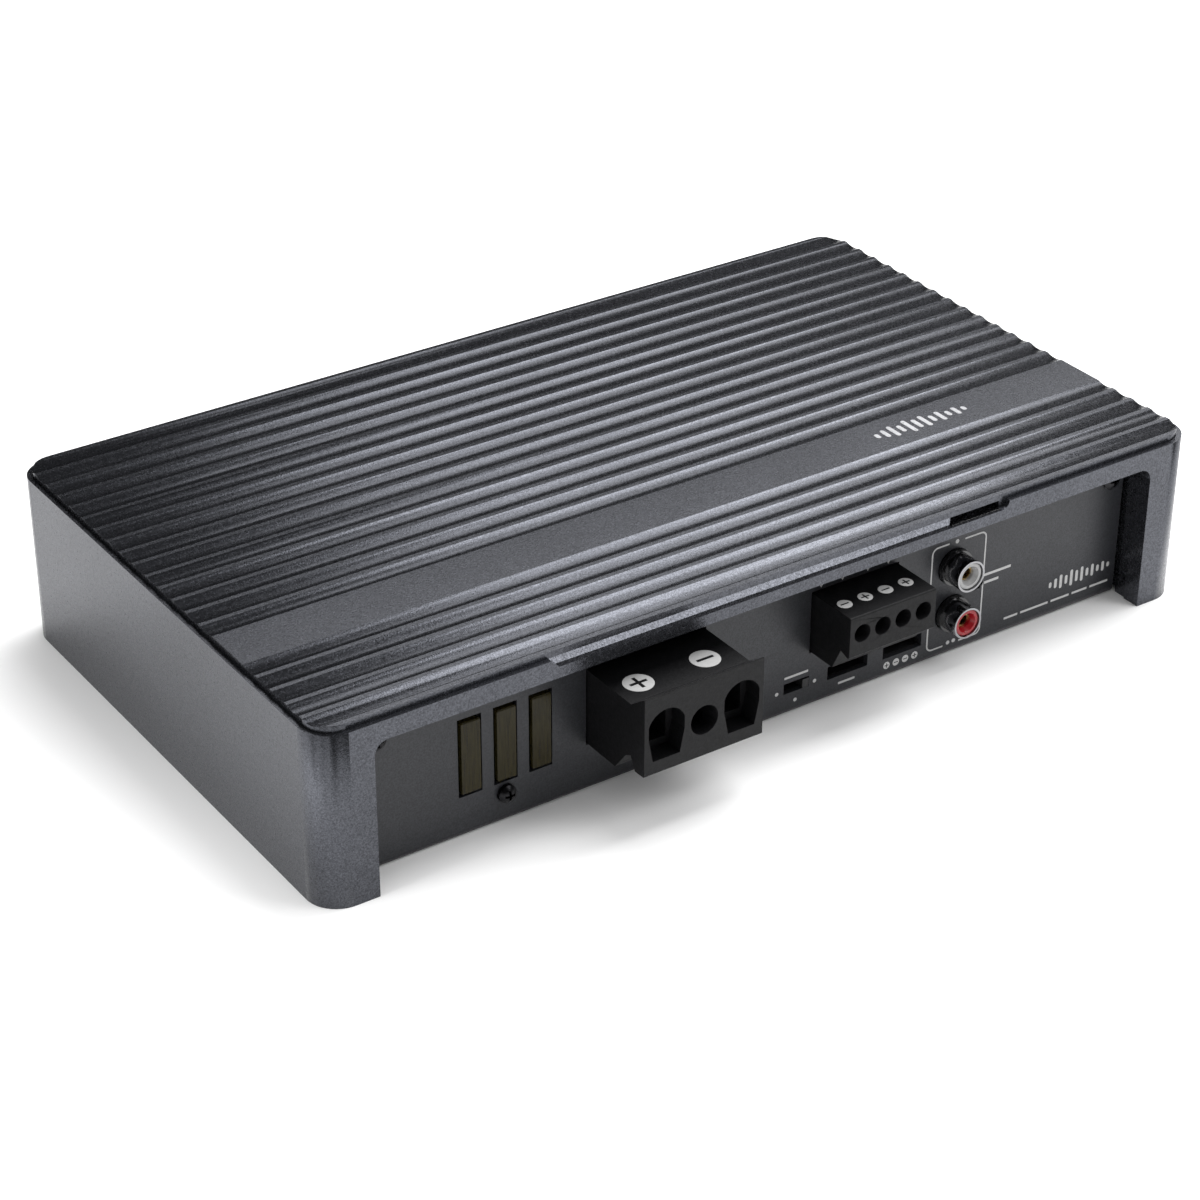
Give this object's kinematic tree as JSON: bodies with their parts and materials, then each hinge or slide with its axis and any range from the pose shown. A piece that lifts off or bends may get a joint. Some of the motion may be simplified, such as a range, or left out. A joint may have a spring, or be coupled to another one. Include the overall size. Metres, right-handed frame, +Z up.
{
  "type": "car amplifier",
  "caption": "Compact car amplifier in a fluted heat sink housing, with pluggable power and speaker connectors, blade fuses, stacked RCA jacks and rear level controls.",
  "frame": {"origin": "on the plane it rests on, midway between the housing's sides, 72.5 mm behind its front face", "axes": "+X to the right along the front, +Y to the back, +Z up"},
  "size_m": [0.25, 0.1608, 0.0463],
  "materials": {
    "housing_coat": "satin dark anodised, fine grain",
    "panel_coat": "satin powder coat",
    "black_steel": "black oxide",
    "bright_steel": "zinc plated",
    "brass": "satin",
    "board_green": "solder mask",
    "epoxy_black": "moulded",
    "gap_pad": "soft",
    "bare_aluminium": "milled",
    "core_green": "painted ferrite",
    "copper_wire": "enamelled",
    "can_blue": "shrink sleeve",
    "can_black": "shrink sleeve",
    "fuse_amber": "clear tinted",
    "plug_black": "fine moulded texture",
    "socket_black": "moulded",
    "tinned_copper": "tin plated",
    "rca_black": "gloss",
    "chrome": "polished",
    "insert_white": "moulded",
    "insert_red": "moulded",
    "window_black": "gloss tinted window",
    "light_white": "moulded",
    "pot_blue": "moulded",
    "knob_black": "moulded"
  },
  "bodies": {
    "amplifier": {"heatsink_housing": "housing_coat", "chassis_tray": "panel_coat", "rear_panel": "panel_coat", "base_screws": "black_steel", "panel_screws": "black_steel", "main_board": "board_green", "board_standoffs": "brass", "board_screws": "bright_steel", "power_transistors": "epoxy_black", "thermal_pads": "gap_pad", "clamp_bars": "bare_aluminium", "choke_cores": "core_green", "choke_windings": "copper_wire", "input_capacitors": "can_blue", "output_capacitors": "can_black", "driver_board": "board_green", "driver_chips": "epoxy_black", "fuse_block": "socket_black", "fuse_clips": "bright_steel", "power_header": "socket_black", "header_pins": "tinned_copper", "speaker_header": "socket_black", "rca_block": "rca_black", "rca_sleeves": "chrome", "rca_contacts": "brass", "rca_insert_white": "insert_white", "rca_insert_red": "insert_red", "sense_switch_case": "socket_black", "input_sockets": "socket_black", "status_lens": "window_black", "status_light_strip": "light_white", "control_pots": "pot_blue"},
    "sense_slider": {"sense_switch_slider": "knob_black"},
    "level_control": {"level_knob": "knob_black"},
    "filter_control": {"filter_knob": "knob_black"},
    "bass_control": {"bass_knob": "knob_black"},
    "power_plug": {"power_plug_body": "plug_black", "power_plug_contacts": "tinned_copper"},
    "speaker_plug": {"speaker_plug_body": "plug_black", "speaker_plug_contacts": "tinned_copper"},
    "fuse_1": {"fuse_1_body": "fuse_amber", "fuse_1_blades": "bright_steel"},
    "power_clamp_1": {"power_cage_1": "bright_steel"},
    "power_clamp_screw_1": {"power_screw_1": "bright_steel"},
    "fuse_2": {"fuse_2_body": "fuse_amber", "fuse_2_blades": "bright_steel"},
    "power_clamp_2": {"power_cage_2": "bright_steel"},
    "power_clamp_screw_2": {"power_screw_2": "bright_steel"},
    "fuse_3": {"fuse_3_body": "fuse_amber", "fuse_3_blades": "bright_steel"},
    "power_clamp_3": {"power_cage_3": "bright_steel"},
    "power_clamp_screw_3": {"power_screw_3": "bright_steel"},
    "speaker_clamp_1": {"speaker_cage_1": "bright_steel"},
    "speaker_clamp_screw_1": {"speaker_screw_1": "bright_steel"},
    "speaker_clamp_2": {"speaker_cage_2": "bright_steel"},
    "speaker_clamp_screw_2": {"speaker_screw_2": "bright_steel"},
    "speaker_clamp_3": {"speaker_cage_3": "bright_steel"},
    "speaker_clamp_screw_3": {"speaker_screw_3": "bright_steel"},
    "speaker_clamp_4": {"speaker_cage_4": "bright_steel"},
    "speaker_clamp_screw_4": {"speaker_screw_4": "bright_steel"}
  },
  "joints": [
    {"name": "sense_switch_slide", "type": "slide", "parent": "amplifier", "child": "sense_slider", "axis": [1, 0, 0], "range_m": [-0.005, 0]},
    {"name": "fuse_1_pull", "type": "slide", "parent": "amplifier", "child": "fuse_1", "axis": [0, -1, 0], "range_m": [0, 0.02]},
    {"name": "fuse_2_pull", "type": "slide", "parent": "amplifier", "child": "fuse_2", "axis": [0, -1, 0], "range_m": [0, 0.02]},
    {"name": "fuse_3_pull", "type": "slide", "parent": "amplifier", "child": "fuse_3", "axis": [0, -1, 0], "range_m": [0, 0.02]},
    {"name": "power_plug_pull", "type": "slide", "parent": "amplifier", "child": "power_plug", "axis": [0, -1, 0], "range_m": [0, 0.022]},
    {"name": "speaker_plug_pull", "type": "slide", "parent": "amplifier", "child": "speaker_plug", "axis": [0, -1, 0], "range_m": [0, 0.02]},
    {"name": "power_screw_1_turn", "type": "hinge", "parent": "power_plug", "child": "power_clamp_screw_1", "pos_m": [-0.0448, -0.0693, 0.0132], "axis": [0, 0, 1], "range_deg": [0, 1543]},
    {"name": "power_clamp_1_lift", "type": "slide", "parent": "power_plug", "child": "power_clamp_1", "axis": [0, 0, 1], "range_m": [-0.003, 0]},
    {"name": "power_screw_2_turn", "type": "hinge", "parent": "power_plug", "child": "power_clamp_screw_2", "pos_m": [-0.0345, -0.0693, 0.0132], "axis": [0, 0, 1], "range_deg": [0, 1543]},
    {"name": "power_clamp_2_lift", "type": "slide", "parent": "power_plug", "child": "power_clamp_2", "axis": [0, 0, 1], "range_m": [-0.003, 0]},
    {"name": "power_screw_3_turn", "type": "hinge", "parent": "power_plug", "child": "power_clamp_screw_3", "pos_m": [-0.0242, -0.0693, 0.0132], "axis": [0, 0, 1], "range_deg": [0, 1543]},
    {"name": "power_clamp_3_lift", "type": "slide", "parent": "power_plug", "child": "power_clamp_3", "axis": [0, 0, 1], "range_m": [-0.003, 0]},
    {"name": "speaker_screw_1_turn", "type": "hinge", "parent": "speaker_plug", "child": "speaker_clamp_screw_1", "pos_m": [0.01668, -0.068, 0.0159], "axis": [0, 0, 1], "range_deg": [0, 1601]},
    {"name": "speaker_clamp_1_lift", "type": "slide", "parent": "speaker_plug", "child": "speaker_clamp_1", "axis": [0, 0, 1], "range_m": [-0.002, 0]},
    {"name": "speaker_screw_2_turn", "type": "hinge", "parent": "speaker_plug", "child": "speaker_clamp_screw_2", "pos_m": [0.02276, -0.068, 0.0159], "axis": [0, 0, 1], "range_deg": [0, 1601]},
    {"name": "speaker_clamp_2_lift", "type": "slide", "parent": "speaker_plug", "child": "speaker_clamp_2", "axis": [0, 0, 1], "range_m": [-0.002, 0]},
    {"name": "speaker_screw_3_turn", "type": "hinge", "parent": "speaker_plug", "child": "speaker_clamp_screw_3", "pos_m": [0.02884, -0.068, 0.0159], "axis": [0, 0, 1], "range_deg": [0, 1601]},
    {"name": "speaker_clamp_3_lift", "type": "slide", "parent": "speaker_plug", "child": "speaker_clamp_3", "axis": [0, 0, 1], "range_m": [-0.002, 0]},
    {"name": "speaker_screw_4_turn", "type": "hinge", "parent": "speaker_plug", "child": "speaker_clamp_screw_4", "pos_m": [0.03492, -0.068, 0.0159], "axis": [0, 0, 1], "range_deg": [0, 1601]},
    {"name": "speaker_clamp_4_lift", "type": "slide", "parent": "speaker_plug", "child": "speaker_clamp_4", "axis": [0, 0, 1], "range_m": [-0.002, 0]},
    {"name": "level_knob_turn", "type": "hinge", "parent": "amplifier", "child": "level_control", "pos_m": [-0.06, 0.0657, 0.02], "axis": [0, 1, 0], "range_deg": [-140, 140]},
    {"name": "filter_knob_turn", "type": "hinge", "parent": "amplifier", "child": "filter_control", "pos_m": [-0.03, 0.0657, 0.02], "axis": [0, 1, 0], "range_deg": [-140, 140]},
    {"name": "bass_knob_turn", "type": "hinge", "parent": "amplifier", "child": "bass_control", "pos_m": [0, 0.0657, 0.02], "axis": [0, 1, 0], "range_deg": [-140, 140]}
  ],
  "couplings": [
    {"joint": "power_screw_1_turn", "follows": "power_clamp_1_lift", "rad_per_m": -8976},
    {"joint": "power_screw_2_turn", "follows": "power_clamp_2_lift", "rad_per_m": -8976},
    {"joint": "power_screw_3_turn", "follows": "power_clamp_3_lift", "rad_per_m": -8976},
    {"joint": "speaker_screw_1_turn", "follows": "speaker_clamp_1_lift", "rad_per_m": -13963},
    {"joint": "speaker_screw_2_turn", "follows": "speaker_clamp_2_lift", "rad_per_m": -13963},
    {"joint": "speaker_screw_3_turn", "follows": "speaker_clamp_3_lift", "rad_per_m": -13963},
    {"joint": "speaker_screw_4_turn", "follows": "speaker_clamp_4_lift", "rad_per_m": -13963}
  ]
}
